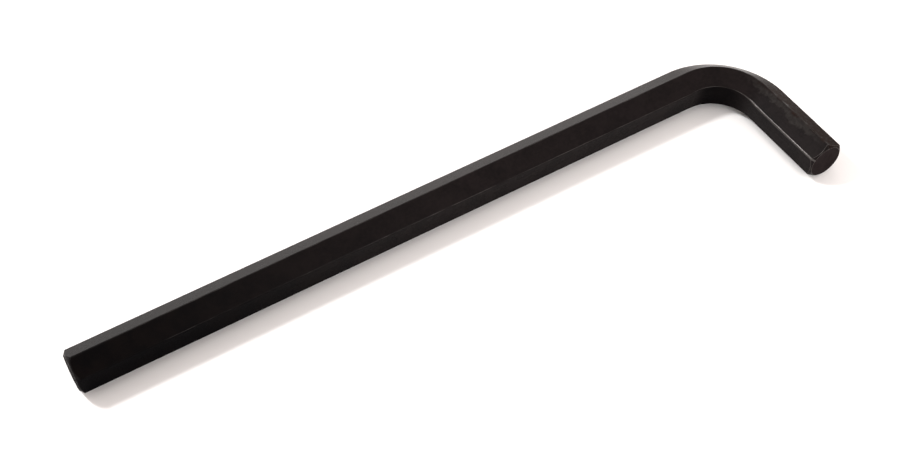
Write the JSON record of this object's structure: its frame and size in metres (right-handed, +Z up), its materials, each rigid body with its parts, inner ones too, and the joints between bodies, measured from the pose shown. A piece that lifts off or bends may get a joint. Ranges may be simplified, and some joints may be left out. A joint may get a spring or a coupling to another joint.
{
  "type": "hex key",
  "caption": "L-shaped hexagonal key for turning socket screws, bent from one length of hexagon bar, with chamfered ends and a black oxide finish.",
  "frame": {"origin": "middle of the key's bounding box, on the surface that it rests on", "axes": "the long arm runs towards -X from the bend, the short arm runs towards -Y, and +Z is up, square to the plane of the bend"},
  "size_m": [0.16, 0.037, 0.0091],
  "materials": {
    "black_oxide_steel": "black oxide, satin, with bright wear on some edges and a few brown patches"
  },
  "bodies": {
    "root": {"hex_key": "black_oxide_steel"}
  },
  "joints": []
}
